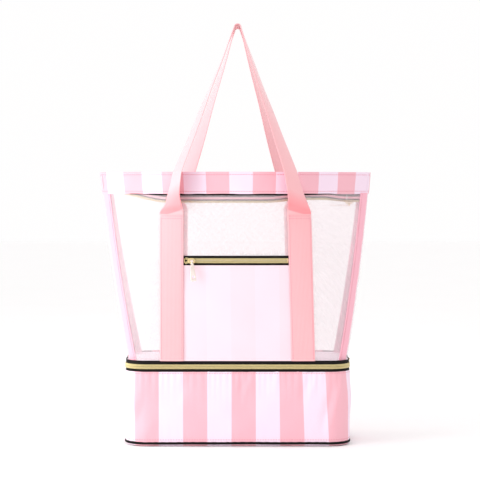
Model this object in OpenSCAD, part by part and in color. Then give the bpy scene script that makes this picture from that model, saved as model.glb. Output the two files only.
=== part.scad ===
// Beach bag: a sheer mesh tote whose floor is the lid of an insulated cooler.
// +Z is up, the origin is under the middle of the base, and the pocket faces -Y.

/* [Cooler] */
// Half of the cooler's width
cooler_half_w = 184; // [170:1:200]
// Half of the cooler's depth
cooler_half_d = 79; // [72:1:88]
// Corner radius of the cooler in plan
cooler_corner = 35; // [25:1:45]
// Height at which the zip splits the cooler from the tote
split_z = 130; // [120:1:140]
// Thickness of the insulating foam
foam_t = 5; // [3:0.5:8]

/* [Tote] */
// Height of the rim
tote_top = 447; // [405:1:480]
// Half of the width at the rim
rim_half_w = 224.8; // [210:0.2:240]
// Half of the depth of the side gusset at its foot
gusset_foot = 62; // [55:1:66]
// Half of the depth of the side gusset at the rim
gusset_rim = 20; // [14:1:30]
// How far the front bows out past the gusset at the rim
rim_bow = 97; // [60:1:105]
// Height of the striped band round the rim
band_h = 36; // [28:1:44]

/* [Webbing] */
// Width of the webbing
webbing_w = 38; // [30:1:40]
// Thickness of the webbing
webbing_t = 1.6; // [1.2:0.1:2]
// Height at which the sewn legs end and the handles come free
leg_top = 379; // [360:1:385]
// Height of the top of the raised handles
handle_top = 691; // [640:1:720]

/* [Pocket] */
// Half of the pocket's width
pocket_half_w = 95; // [90:1:100]
// Height of the middle of the pocket's zip
pocket_zip_z = 304; // [280:1:320]

/* [Hidden] */
$fn = 48;
fabric_t = 1;
clear = 0.3;
split_low = split_z - clear;
split_high = split_z + clear;
lower_tape_h = 2.5;
upper_tape_h = 5;
coil_h = 4;
coil_proud = 0.6;
wall_top = split_low - coil_h - lower_tape_h;
tote_foot = split_high + coil_h + upper_tape_h;
band_z = tote_top - band_h;
board_t = 2.5;
base_foam_t = 4;
liner_t = 0.5;
floor_z = fabric_t + board_t + base_foam_t;
piping_z = 3;
piping_w = 3.6;
hinge_half_w = cooler_half_w - cooler_corner - 1;
mesh_t = 0.8;
pocket_off = 1;
pocket_low = tote_foot + 0.2;
pocket_zip_half = 4;
leg_off = 2.3;
binding_off = 1.4;
seam_gap = 1.3;
leg_foot_x = 107;
leg_head_x = 102;
handle_spread = 20;
peg_r = 5;
slider_w = 12;
slider_h = 9;
slider_t = 2;
bar_out = 5;
bar_r = 0.7;
eye_r = 1.9;
pull_len = 33;
pull_w = 9;
pull_t = 1.2;
pocket_slider_x = -72;
cooler_slider_y = 38;
top_slider_x = 190;
top_zip_z = 397;
top_zip_off = 2.5;
top_zip_turn = 150;

pink = [0.98, 0.76, 0.79];
webbing_pink = [0.98, 0.78, 0.80];
pale = [0.98, 0.94, 0.98];
sheer = [0.97, 0.90, 0.94, 0.5];
black = [0.16, 0.15, 0.15];
gold = [0.83, 0.76, 0.52];
foil = [0.80, 0.81, 0.83];
foam_white = [0.93, 0.93, 0.91];

// ---- plan curves of the tote, by height ----
function rise(z) = (z - tote_foot) / (tote_top - tote_foot);
function half_w(t) = cooler_half_w + (rim_half_w - cooler_half_w) * (1.32 * t - 0.32 * t * t);
function gusset_out(t) = 9 - 4 * t;
function seam_x(t) = half_w(t) - gusset_out(t);
function seam_y(t) = gusset_foot + (gusset_rim - gusset_foot) * t;
function foot_bow() = cooler_half_d - fabric_t - gusset_foot;
function bow(t) = foot_bow() + (rim_bow - foot_bow()) * t;
function squareness(t) = 2 + 6 * pow(1 - t, 1.5);
function unit(v) = v / norm(v);

// Outward normal of the front panel in plan, at a distance x from the middle.
function front_normal(x, t) =
    let(
        s = abs(x) / seam_x(t),
        slope = sign(x) * bow(t) * squareness(t) / seam_x(t) * pow(s, squareness(t) - 1)
    )
    unit([slope, -1, 0]);
// A point on the front panel, pushed out by off.
function front_pt(x, z, off) =
    let(
        t = rise(z),
        y = -(seam_y(t) + bow(t) * (1 - pow(abs(x) / seam_x(t), squareness(t))))
    )
    [x, y, z] + off * front_normal(x, t);
// Outward normal of the right gusset in plan, with s from -1 at the front seam to 1.
function side_normal(s, t) = unit([seam_y(t), 2 * gusset_out(t) * s, 0]);
// A point on the right gusset, pushed out by off.
function side_pt(s, z, off) =
    let(t = rise(z))
    [seam_x(t) + gusset_out(t) * (1 - s * s), s * seam_y(t), z] + off * side_normal(s, t);
// A point on the front right corner seam, pushed out so that both faces stay off away.
function corner_pt(z, off) =
    let(
        t = rise(z),
        n = front_normal(seam_x(t), t) + side_normal(-1, t)
    )
    [seam_x(t), -seam_y(t), z] + off * n * 2 / (n * n);

// ---- helpers ----
// Closed solid between two grids of points. Going along a row and then up a column
// turns towards the outer grid.
module skin(outer, inner) {
    rows = len(outer);
    cols = len(outer[0]);
    function at(side, i, j) = side * rows * cols + i * cols + j;
    quads = concat(
        [for (i = [0:rows - 2], j = [0:cols - 2])
            [at(0, i, j), at(0, i, j + 1), at(0, i + 1, j + 1), at(0, i + 1, j)]],
        [for (i = [0:rows - 2], j = [0:cols - 2])
            [at(1, i, j), at(1, i + 1, j), at(1, i + 1, j + 1), at(1, i, j + 1)]],
        [for (i = [0:rows - 2])
            [at(0, i, 0), at(0, i + 1, 0), at(1, i + 1, 0), at(1, i, 0)]],
        [for (i = [0:rows - 2])
            [at(0, i, cols - 1), at(1, i, cols - 1), at(1, i + 1, cols - 1), at(0, i + 1, cols - 1)]],
        [for (j = [0:cols - 2])
            [at(0, 0, j), at(1, 0, j), at(1, 0, j + 1), at(0, 0, j + 1)]],
        [for (j = [0:cols - 2])
            [at(0, rows - 1, j), at(0, rows - 1, j + 1), at(1, rows - 1, j + 1), at(1, rows - 1, j)]]
    );
    polyhedron(
        points = concat([for (row = outer) each row], [for (row = inner) each row]),
        faces = [for (q = quads) each [[q[0], q[1], q[2]], [q[0], q[2], q[3]]]],
        convexity = 6
    );
}
// Heights from low to high in equal steps.
function levels(low, high, steps) = [for (j = [0:steps]) low + (high - low) * j / steps];
// Strip of the front wall between two places given as shares of the seam's distance.
module front_strip(s0, s1, low, high, off0, off1, across, up) {
    function grid(off) = [for (i = [0:across]) [for (z = levels(low, high, up))
        front_pt((s0 + (s1 - s0) * i / across) * seam_x(rise(z)), z, off)]];
    skin(grid(off1), grid(off0));
}
// Strip of the front wall between two distances x from the middle.
module front_patch(x0, x1, low, high, off0, off1, across, up) {
    function grid(off) = [for (i = [0:across]) [for (z = levels(low, high, up))
        front_pt(x0 + (x1 - x0) * i / across, z, off)]];
    skin(grid(off1), grid(off0));
}
// Strip of the right gusset.
module side_strip(s0, s1, low, high, off0, off1, across, up) {
    function grid(off) = [for (i = [0:across]) [for (z = levels(low, high, up))
        side_pt(s0 + (s1 - s0) * i / across, z, off)]];
    skin(grid(off1), grid(off0));
}
// Cooler outline, drawn in by inset.
module outline(inset) {
    r = cooler_corner - inset;
    square([2 * (cooler_half_w - cooler_corner), 2 * (cooler_half_d - inset)], center = true);
    square([2 * (cooler_half_w - inset), 2 * (cooler_half_d - cooler_corner)], center = true);
    for (x = [-1, 1], y = [-1, 1])
        translate([x * (cooler_half_w - cooler_corner), y * (cooler_half_d - cooler_corner)])
            circle(r);
}
// Upright wall round the cooler outline, between two insets.
module ring(outer_inset, inner_inset, low, high) {
    translate([0, 0, low]) linear_extrude(high - low) difference() {
        outline(outer_inset);
        outline(inner_inset);
    }
}
// Flat plate with the cooler outline.
module plate(inset, low, high) {
    translate([0, 0, low]) linear_extrude(high - low) outline(inset);
}
// The straight stretch at the rear, which the hinge fabric takes instead of the zip.
module rear_stretch() {
    translate([-hinge_half_w, cooler_half_d - 8, 0]) cube([2 * hinge_half_w, 16, tote_top]);
}
module open_ring(outer_inset, inner_inset, low, high) {
    difference() {
        ring(outer_inset, inner_inset, low, high);
        rear_stretch();
    }
}
module to_rear() { mirror([0, 1, 0]) children(); }
module to_left() { mirror([1, 0, 0]) children(); }

// ---- cooler ----
module cooler_wall() { color(pink) ring(0, fabric_t, fabric_t, wall_top); }
module base_panel() { color(pink) plate(0, 0, fabric_t); }
module base_piping() { color(black) ring(-1.5, 0, piping_z, piping_z + piping_w); }
module base_board() { color(foam_white) plate(fabric_t + 0.1, fabric_t, fabric_t + board_t); }
module base_foam() { color(foam_white) plate(fabric_t, fabric_t + board_t, floor_z); }
module wall_foam() { color(foam_white) ring(fabric_t, fabric_t + foam_t, floor_z, split_low); }
module foil_liner() {
    inset = fabric_t + foam_t;
    color(foil) {
        plate(inset, floor_z, floor_z + liner_t);
        ring(inset, inset + liner_t, floor_z, split_low);
    }
}
module lower_zip_tape() { color(black) open_ring(0, fabric_t, wall_top, split_low - coil_h); }
module lower_zip_teeth() {
    color(gold) open_ring(-coil_proud, fabric_t, split_low - coil_h, split_low);
}
module cooler_zip_stops() {
    color(gold) for (side = [-1, 1])
        translate([side * (hinge_half_w - 2.3) - 2, cooler_half_d + clear, split_low - coil_h])
            cube([4, 1.5, coil_h]);
}
module hinge_fabric_lower() {
    color(pink) translate([-hinge_half_w, cooler_half_d - fabric_t, wall_top])
        cube([2 * hinge_half_w, fabric_t, split_low - wall_top]);
}

// ---- tote floor, which is the cooler's lid ----
module hinge_fabric_upper() {
    color(pink) translate([-hinge_half_w, cooler_half_d - fabric_t, split_high])
        cube([2 * hinge_half_w, fabric_t, tote_foot - split_high]);
}
module upper_zip_tape() { color(black) open_ring(0, fabric_t, split_high + coil_h, tote_foot); }
module upper_zip_teeth() {
    color(gold) open_ring(-coil_proud, fabric_t, split_high, split_high + coil_h);
}
module lid_foil() { color(foil) plate(fabric_t, split_high, split_high + liner_t); }
module lid_foam() { color(foam_white) plate(fabric_t, split_high + liner_t, split_high + 4.5); }
module tote_floor() { color(pale) plate(fabric_t, split_high + 4.5, split_high + 5.5); }

// ---- tote walls ----
module front_mesh() { color(sheer) front_strip(-1, 1, tote_foot, band_z, 0, mesh_t, 24, 8); }
module rear_mesh() { to_rear() front_mesh(); }
module right_mesh() { color(sheer) side_strip(-1, 1, tote_foot, band_z, 0, mesh_t, 6, 8); }
module left_mesh() { to_left() right_mesh(); }
// Folded strip that covers a corner seam: 8 mm on the panel and 6 mm on the gusset.
module front_right_binding() {
    function row(off, i) = [for (z = levels(tote_foot, band_z, 8))
        i == 0 ? front_pt(seam_x(rise(z)) - 8, z, off)
        : i == 1 ? corner_pt(z, off)
        : side_pt(-1 + 6 / seam_y(rise(z)), z, off)];
    function grid(off) = [for (i = [0:2]) row(off, i)];
    color(webbing_pink) skin(grid(binding_off + 1.2), grid(binding_off));
}
module front_left_binding() { to_left() front_right_binding(); }
module rear_right_binding() { to_rear() front_right_binding(); }
module rear_left_binding() { to_rear() to_left() front_right_binding(); }
module front_band() {
    end = 1 - seam_gap / seam_x(1);
    color(pink) front_strip(-end, end, band_z, tote_top, -1.5, 1.5, 24, 2);
}
module rear_band() { to_rear() front_band(); }
module right_band() {
    end = 1 - seam_gap / seam_y(1);
    color(pink) side_strip(-end, end, band_z, tote_top, -1.5, 1.5, 6, 2);
}
module left_band() { to_left() right_band(); }

// ---- zip across the mouth, open, with its slider near the right gusset ----
// It follows the inside of the band, dips out of sight at the left corner, and turns in to
// meet the other side at the slider.
function smooth(a) = let(c = min(1, max(0, a))) c * c * (3 - 2 * c);
function top_zip_pt(x, z, off) =
    let(
        lift = 14 * smooth((-x - 110) / 90),
        p = front_pt(x, z, off),
        inward = smooth((x - top_zip_turn) / (top_slider_x - 4 - top_zip_turn)),
        meet = [x, -off - top_zip_off - 1.5, z]
    )
    p * (1 - inward) + meet * inward + [0, 0, lift];
module top_zip_row(low, high, off0, off1) {
    x0 = -200;
    x1 = top_slider_x - 4;
    steps = 44;
    function grid(off) = [for (i = [0:steps]) [for (z = [low, high])
        top_zip_pt(x0 + (x1 - x0) * i / steps, z, off)]];
    skin(grid(off1), grid(off0));
}
module top_zip_front_tape() {
    color(black) top_zip_row(top_zip_z + 4, top_zip_z + 21, -top_zip_off - 0.6, -top_zip_off);
}
module top_zip_rear_tape() { to_rear() top_zip_front_tape(); }
module top_zip_front_teeth() {
    color(gold) top_zip_row(top_zip_z, top_zip_z + 4, -top_zip_off - 1.4, -top_zip_off);
}
module top_zip_rear_teeth() { to_rear() top_zip_front_teeth(); }
module top_zip_stub() {
    x0 = top_slider_x - 3.5;
    x1 = half_w(rise(top_zip_z)) - 1;
    color(black) translate([x0, -2.4, top_zip_z]) cube([x1 - x0, 4.8, 4]);
    color(black) translate([x0, -1.2, top_zip_z + 4]) cube([x1 - x0, 2.4, 14]);
}

// ---- pocket ----
module pocket_panel() {
    color(pale) front_patch(-pocket_half_w, pocket_half_w, pocket_low, pocket_zip_z - 8,
        pocket_off, pocket_off + 1, 12, 6);
}
module pocket_zip_lower_tape() {
    color(black) front_patch(-pocket_half_w, pocket_half_w, pocket_zip_z - 8,
        pocket_zip_z - pocket_zip_half, pocket_off, pocket_off + 0.8, 12, 1);
}
module pocket_zip_upper_tape() {
    color(black) front_patch(-pocket_half_w, pocket_half_w, pocket_zip_z + pocket_zip_half,
        pocket_zip_z + 8, pocket_off, pocket_off + 0.8, 12, 1);
}
module pocket_zip_teeth() {
    half = pocket_half_w - 13.2;
    color(gold) front_patch(-half, half, pocket_zip_z - pocket_zip_half,
        pocket_zip_z + pocket_zip_half, pocket_off, pocket_off + 2, 12, 1);
}
module pocket_zip_stops() {
    color(gold) for (side = [-1, 1]) {
        x = side * (pocket_half_w - 12);
        front_patch(x - 1, x + 1, pocket_zip_z - pocket_zip_half,
            pocket_zip_z + pocket_zip_half, pocket_off, pocket_off + 1.2, 1, 1);
    }
}

// ---- sliders and pulls; each is drawn at its own origin, facing -Y ----
// The plate stands clear of the teeth, and a bar between two lugs carries the pull.
// The bar runs across the plate's width, or down it when upright is true.
module slider(upright) {
    translate([0, -clear - slider_t, 0]) rotate([-90, 0, 0]) linear_extrude(slider_t) {
        square([slider_w, slider_h - 4], center = true);
        square([slider_w - 4, slider_h], center = true);
        for (x = [-1, 1], z = [-1, 1])
            translate([x * (slider_w / 2 - 2), z * (slider_h / 2 - 2)]) circle(2);
    }
    rotate([0, upright ? 90 : 0, 0]) {
        for (side = [-1, 1]) translate([side * 3.6 - 0.5, -bar_out - 1, -1])
            cube([1, bar_out + 1 - clear - slider_t / 2, 2]);
        translate([-3.6, -bar_out, 0]) rotate([0, 90, 0]) cylinder(h = 7.2, r = bar_r);
    }
}
// Pull that hangs down from the bar.
module pull() {
    translate([0, -bar_out, 0]) difference() {
        union() {
            translate([-2.5, 0, 0]) rotate([0, 90, 0]) cylinder(h = 5, r = eye_r);
            translate([-2, -pull_t / 2, -9]) cube([4, pull_t, 8]);
            translate([0, pull_t / 2, 0]) rotate([90, 0, 0]) linear_extrude(pull_t) {
                polygon([
                    [-2.2, -6], [2.2, -6], [pull_w / 2, -13], [pull_w / 2, 3 - pull_len],
                    [pull_w / 2 - 3, -pull_len], [3 - pull_w / 2, -pull_len],
                    [-pull_w / 2, 3 - pull_len], [-pull_w / 2, -13]
                ]);
            }
        }
        translate([-3, 0, 0]) rotate([0, 90, 0]) cylinder(h = 6, r = bar_r + clear);
        translate([0, 2, -pull_len + 7]) rotate([90, 0, 0]) cylinder(h = 4, r = 2.2);
    }
}
module at_pocket() {
    y = front_pt(0, pocket_zip_z + pocket_zip_half, pocket_off + 2).y;
    translate([pocket_slider_x, y, pocket_zip_z]) children();
}
module at_cooler() {
    translate([cooler_half_w + coil_proud, cooler_slider_y, split_z]) rotate([0, 0, 90]) children();
}
module at_top() { translate([top_slider_x, 0, top_zip_z]) rotate([90, 0, 0]) children(); }
module pocket_slider() { color(gold) at_pocket() slider(false); }
module pocket_pull() { color(gold) at_pocket() pull(); }
module cooler_slider() { color(gold) at_cooler() slider(false); }
module cooler_pull() { color(gold) at_cooler() pull(); }
module top_slider() { color(gold) at_top() slider(true); }
module top_pull() { color(gold) at_top() rotate([0, 90, 0]) pull(); }

// ---- webbing ----
// Leg sewn to the front, on the right; it leans in a little as it rises.
module front_right_leg() {
    low = tote_foot + 0.2;
    function mid(z) = leg_foot_x + (leg_head_x - leg_foot_x) * (z - low) / (leg_top - low);
    function grid(off) = [for (i = [0:4]) [for (z = levels(low, leg_top, 8))
        front_pt(mid(z) + webbing_w * (i / 4 - 0.5), z, off)]];
    color(webbing_pink) skin(grid(leg_off + webbing_t), grid(leg_off));
}
module front_left_leg() { to_left() front_right_leg(); }
module rear_right_leg() { to_rear() front_right_leg(); }
module rear_left_leg() { to_rear() to_left() front_right_leg(); }

// Middle line of the front handle's right half: x, y, z and the turn of its width from +X.
// It starts flat on the leg, stands off the band as it turns, and then runs straight to the top.
hang = handle_top - webbing_t / 2 - peg_r;
rim_pt = [87, -115.5, tote_top, 51];
peg_pt = [peg_r, -handle_spread, hang, 90];
half_handle = concat(
    [
        [leg_head_x, front_pt(leg_head_x, leg_top, leg_off + 0.8).y, leg_top + 0.8, 17],
        [100.5, -104.5, leg_top + 13, 31],
        [96, -111.5, leg_top + 30, 43],
        [91.5, -114.5, leg_top + 48, 48]
    ],
    [for (k = [0:8]) rim_pt + (peg_pt - rim_pt) * k / 8],
    [for (a = [30, 60]) [peg_r * cos(a), -handle_spread, hang + peg_r * sin(a), 90]]
);
handle_line = concat(
    half_handle,
    [[0, -handle_spread, hang + peg_r, 90]],
    [for (k = [len(half_handle) - 1:-1:0])
        let(p = half_handle[k]) [-p[0], p[1], p[2], 180 - p[3]]]
);
function spot(k) = [handle_line[k][0], handle_line[k][1], handle_line[k][2]];
function heading(k) =
    unit(spot(min(k + 1, len(handle_line) - 1)) - spot(max(k - 1, 0)));
function handle_pt(k, side, face) =
    let(
        turn = handle_line[k][3],
        across = [cos(turn), sin(turn), 0],
        out = unit(cross(heading(k), across))
    )
    spot(k) + across * side * webbing_w / 2 + out * face * webbing_t / 2;
module front_handle() {
    function grid(face) = [for (k = [0:len(handle_line) - 1])
        [for (side = [-1, 0, 1]) handle_pt(k, side, face)]];
    color(webbing_pink) skin(grid(1), grid(-1));
}
module rear_handle() { to_rear() front_handle(); }

cooler_wall();
base_panel();
base_piping();
base_board();
base_foam();
wall_foam();
foil_liner();
lower_zip_tape();
lower_zip_teeth();
cooler_zip_stops();
hinge_fabric_lower();
hinge_fabric_upper();
upper_zip_tape();
upper_zip_teeth();
lid_foil();
lid_foam();
tote_floor();
front_mesh();
rear_mesh();
left_mesh();
right_mesh();
front_left_binding();
front_right_binding();
rear_left_binding();
rear_right_binding();
front_band();
rear_band();
left_band();
right_band();
top_zip_front_tape();
top_zip_rear_tape();
top_zip_front_teeth();
top_zip_rear_teeth();
top_zip_stub();
front_left_leg();
front_right_leg();
rear_left_leg();
rear_right_leg();
pocket_panel();
pocket_zip_upper_tape();
pocket_zip_lower_tape();
pocket_zip_teeth();
pocket_zip_stops();
pocket_slider();
pocket_pull();
cooler_slider();
cooler_pull();
top_slider();
top_pull();
front_handle();
rear_handle();
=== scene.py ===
import math

import bmesh
import bpy
import numpy as np
from mathutils import Matrix, Vector


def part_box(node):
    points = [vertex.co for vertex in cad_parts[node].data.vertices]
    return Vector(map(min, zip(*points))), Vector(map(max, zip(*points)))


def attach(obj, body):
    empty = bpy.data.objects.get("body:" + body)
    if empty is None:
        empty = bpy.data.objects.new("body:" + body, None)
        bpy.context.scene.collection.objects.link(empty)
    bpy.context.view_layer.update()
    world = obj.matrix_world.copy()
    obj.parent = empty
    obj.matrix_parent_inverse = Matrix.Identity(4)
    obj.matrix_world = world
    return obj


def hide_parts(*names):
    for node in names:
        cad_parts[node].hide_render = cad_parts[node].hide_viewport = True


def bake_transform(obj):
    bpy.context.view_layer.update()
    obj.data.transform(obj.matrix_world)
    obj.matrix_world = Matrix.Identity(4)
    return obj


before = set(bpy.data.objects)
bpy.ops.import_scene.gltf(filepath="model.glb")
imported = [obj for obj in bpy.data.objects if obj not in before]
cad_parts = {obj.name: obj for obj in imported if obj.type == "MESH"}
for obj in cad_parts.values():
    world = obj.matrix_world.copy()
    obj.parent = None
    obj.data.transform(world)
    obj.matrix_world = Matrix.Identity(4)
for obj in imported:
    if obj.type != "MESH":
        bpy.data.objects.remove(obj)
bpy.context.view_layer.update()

# ---- Sizes, in metres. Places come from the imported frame. ----
MM = 0.001


def span_z(node):
    """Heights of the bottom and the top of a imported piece."""
    low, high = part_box(node)
    return low.z, high.z


def middle_x(node):
    low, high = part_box(node)
    return (low.x + high.x) / 2


COOLER_W, COOLER_D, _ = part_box("cooler_wall")[1]
WALL_FOOT, WALL_TOP = span_z("cooler_wall")
COIL_LOW, SPLIT_LOW = span_z("lower_zip_teeth")      # the cooler's zip parts between the splits
SPLIT_HIGH, COIL_HIGH = span_z("upper_zip_teeth")
HINGE_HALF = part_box("hinge_fabric_lower")[1].x
FLOOR_TOP = span_z("tote_floor")[1]
TOTE_FOOT = span_z("front_mesh")[0]
BAND_Z, RIM_Z = span_z("front_band")
LEG_FOOT, LEG_TOP = span_z("front_right_leg")
HANDLE_TOP = span_z("front_handle")[1]
POCKET_FOOT, POCKET_TOP = span_z("pocket_panel")
POCKET_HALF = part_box("pocket_panel")[1].x
POCKET_SLIDER_X, TOP_SLIDER_X = middle_x("pocket_slider"), middle_x("top_slider")
BAND_HALF_T = 1.5 * MM
RIM_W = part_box("right_band")[1].x - BAND_HALF_T
CORNER = 35 * MM                             # radius of the cooler's corners
GUSSET_FOOT, GUSSET_RIM = 62 * MM, 20 * MM   # half depth of the gussets at the foot and the rim
FOOT_BOW = COOLER_D - 1 * MM - GUSSET_FOOT   # how far the front bows out past its seams
RIM_BOW = 97 * MM
LEAN = 4.2 * MM                              # how far left the rim stands
WEBBING_W, WEBBING_T = 38 * MM, 1.6 * MM
THREAD_R = 0.42 * MM
QUILT = 52 * MM                              # width of the quilting's diamonds
STRIPE, BAND_STRIPE = 39.5 * MM, 37.3 * MM
COOLER_STRIPE_AT, BAND_STRIPE_AT = 10 * MM, 47 * MM  # middle of a pink stripe, from the front's middle

# ---- Camera and light ----
CAMERA_AT = (4 * MM, -2578 * MM, 426 * MM)
CAMERA_LENS, CAMERA_DOWN = 115.5, 2.05       # focal length in mm, and degrees below level

scene = bpy.context.scene
scene.view_settings.view_transform = "Standard"


def link(obj):
    scene.collection.objects.link(obj)
    return obj


def set_camera():
    cam = bpy.data.cameras.new("camera")
    cam.lens, cam.sensor_width = CAMERA_LENS, 36
    obj = link(bpy.data.objects.new("camera", cam))
    obj.location = CAMERA_AT
    obj.rotation_euler = (math.radians(90 - CAMERA_DOWN), 0, 0)
    scene.camera = obj


def area_light(name, place, target, size, watts):
    lamp = bpy.data.lights.new(name, "AREA")
    lamp.shape, lamp.size, lamp.energy = "DISK", size, watts
    obj = link(bpy.data.objects.new(name, lamp))
    obj.location = place
    obj.rotation_euler = (Vector(target) - Vector(place)).to_track_quat("-Z", "Y").to_euler()


def set_light():
    world = bpy.data.worlds.new("studio")
    world.use_nodes = True
    sky = world.node_tree.nodes["Background"].inputs
    sky["Color"].default_value, sky["Strength"].default_value = (1, 0.995, 0.995, 1), 1.0
    scene.world = world
    area_light("key", (-1.3, -0.9, 0.9), (0, 0, 0.25), 0.8, 7)
    area_light("low", (-0.75, -0.42, 0.2), (0, 0, 0.1), 0.5, 1.5)
    area_light("side", (-1.6, 0.1, 0.9), (0, 0, 0.45), 0.6, 6)


set_camera()
set_light()

# ---- Node helpers ----


class Nodes:
    """Short ways to add shader nodes to one material."""

    def __init__(self, name):
        self.mat = bpy.data.materials.new(name)
        self.mat.use_nodes = True
        self.tree = self.mat.node_tree
        self.shader = self.tree.nodes["Principled BSDF"]
        self.uv = self.tree.nodes.new("ShaderNodeUVMap").outputs[0]
        self.object = self.tree.nodes.new("ShaderNodeTexCoord").outputs["Object"]

    def link(self, value, socket):
        if isinstance(value, bpy.types.NodeSocket):
            self.tree.links.new(value, socket)
        else:
            socket.default_value = value

    def math(self, kind, a, b=0.0, c=0.0, clamp=False):
        node = self.tree.nodes.new("ShaderNodeMath")
        node.operation, node.use_clamp = kind, clamp
        for value, socket in zip((a, b, c), node.inputs):
            self.link(value, socket)
        return node.outputs[0]

    def parts(self, vector):
        node = self.tree.nodes.new("ShaderNodeSeparateXYZ")
        self.link(vector, node.inputs[0])
        return node.outputs

    def noise(self, scale, detail=2.0, rough=0.5):
        node = self.tree.nodes.new("ShaderNodeTexNoise")
        self.link(self.object, node.inputs["Vector"])
        node.inputs["Scale"].default_value = scale
        node.inputs["Detail"].default_value = detail
        node.inputs["Roughness"].default_value = rough
        return node.outputs["Fac"]

    def cells(self, scale):
        """Distance from the middle of the nearest cell."""
        node = self.tree.nodes.new("ShaderNodeTexVoronoi")
        self.link(self.object, node.inputs["Vector"])
        node.inputs["Scale"].default_value = scale
        return node.outputs["Distance"]

    def mix(self, factor, a, b, blend="MIX"):
        node = self.tree.nodes.new("ShaderNodeMix")
        node.data_type, node.blend_type = "RGBA", blend
        self.link(factor, node.inputs[0])
        self.link(a, node.inputs[6])
        self.link(b, node.inputs[7])
        return node.outputs[2]

    def spread(self, value, low, high):
        """value from 0 to 1, spread to low to high."""
        return self.math("MULTIPLY_ADD", value, high - low, low)

    def ribs(self, coordinate, pitch):
        """Smooth ridges from 0 to 1, one every pitch metres."""
        turns = self.math("MULTIPLY", coordinate, 2 * math.pi / pitch)
        return self.math("MULTIPLY_ADD", self.math("SINE", turns), 0.5, 0.5)

    def bump(self, height, distance, strength):
        node = self.tree.nodes.new("ShaderNodeBump")
        self.link(height, node.inputs["Height"])
        node.inputs["Distance"].default_value = distance
        node.inputs["Strength"].default_value = strength
        self.tree.links.new(node.outputs[0], self.shader.inputs["Normal"])

    def surface(self, colour, roughness, **sockets):
        self.link(colour, self.shader.inputs["Base Color"])
        self.link(roughness, self.shader.inputs["Roughness"])
        for name, value in sockets.items():
            self.shader.inputs[name.replace("_", " ")].default_value = value
        return self.mat


def rgb(red, green, blue):
    """Linear colour from the 0 to 255 numbers of a picture."""
    def line(value):
        value /= 255
        return value / 12.92 if value <= 0.04045 else ((value + 0.055) / 1.055) ** 2.4
    return (line(red), line(green), line(blue), 1.0)


def shade(colour, factor):
    """Darker or lighter colour."""
    return tuple(min(1.0, c * factor) for c in colour[:3]) + (1.0,)


def weave(n, pitch):
    """Height of a plain weave: warp and weft threads pass over each other."""
    u, v, _ = n.parts(n.uv)
    warp, weft = n.ribs(u, pitch), n.ribs(v, pitch)
    over = n.math("MULTIPLY", warp, weft)
    under = n.math("MULTIPLY", n.math("SUBTRACT", 1.0, warp), n.math("SUBTRACT", 1.0, weft))
    return n.math("ADD", over, under)


# ---- Materials ----
PINK = rgb(248, 187, 199)
WHITE = rgb(251, 226, 243)


def cloth(name, colour, pitch=0.9 * MM, relief=0.12 * MM, sheen=0.3):
    """Matt woven polyester of one colour."""
    n = Nodes(name)
    tone = n.noise(18, 3)
    height = weave(n, pitch)
    fine = n.mix(n.spread(height, 0.0, 0.12), colour, shade(colour, 0.86))
    colour_out = n.mix(n.spread(tone, 0.0, 0.10), fine, shade(colour, 0.9))
    n.bump(height, relief, 0.6)
    return n.surface(colour_out, n.spread(tone, 0.62, 0.8), Sheen_Weight=sheen,
                     Sheen_Roughness=0.5, Specular_IOR_Level=0.25)


def striped(name, middle, pink, white, width=STRIPE):
    """Woven cloth with equal stripes along U; a pink one has its middle at the given U."""
    n = Nodes(name)
    u = n.parts(n.uv)[0]
    turns = n.math("DIVIDE", n.math("SUBTRACT", u, middle - width / 2), 2 * width)
    is_white = n.math("GREATER_THAN", n.math("FRACT", n.math("ADD", turns, 100.0)), 0.5)
    base = n.mix(is_white, pink, white)
    height = weave(n, 0.9 * MM)
    tone = n.noise(14, 3)
    value = n.math("SUBTRACT", n.spread(height, 1.0, 0.955), n.spread(tone, 0.0, 0.05))
    grey = n.tree.nodes.new("ShaderNodeCombineColor")
    for socket in grey.inputs:
        n.link(value, socket)
    n.bump(height, 0.12 * MM, 0.6)
    return n.surface(n.mix(1.0, base, grey.outputs[0], "MULTIPLY"), n.spread(tone, 0.6, 0.78),
                     Sheen_Weight=0.25, Sheen_Roughness=0.5, Specular_IOR_Level=0.25)


def net(name, colour, pitch=1.1 * MM, thread=0.24):
    """Sheer net: fine threads both ways, and clear holes between them."""
    n = Nodes(name)
    u, v, _ = n.parts(n.uv)

    def threads(coordinate):
        place = n.math("FRACT", n.math("ADD", n.math("DIVIDE", coordinate, pitch), 1000.0))
        return n.math("LESS_THAN", place, thread)

    solid = n.math("MAXIMUM", threads(n.math("ADD", u, v)), threads(n.math("SUBTRACT", u, v)))
    tone = n.noise(9, 2)
    n.link(n.math("MULTIPLY_ADD", solid, 0.24, n.spread(tone, 0.08, 0.12)), n.shader.inputs["Alpha"])
    n.bump(solid, 0.1 * MM, 0.5)
    return n.surface(n.mix(tone, colour, shade(colour, 0.97)), n.spread(tone, 0.5, 0.65),
                     Specular_IOR_Level=0.3)


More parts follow.
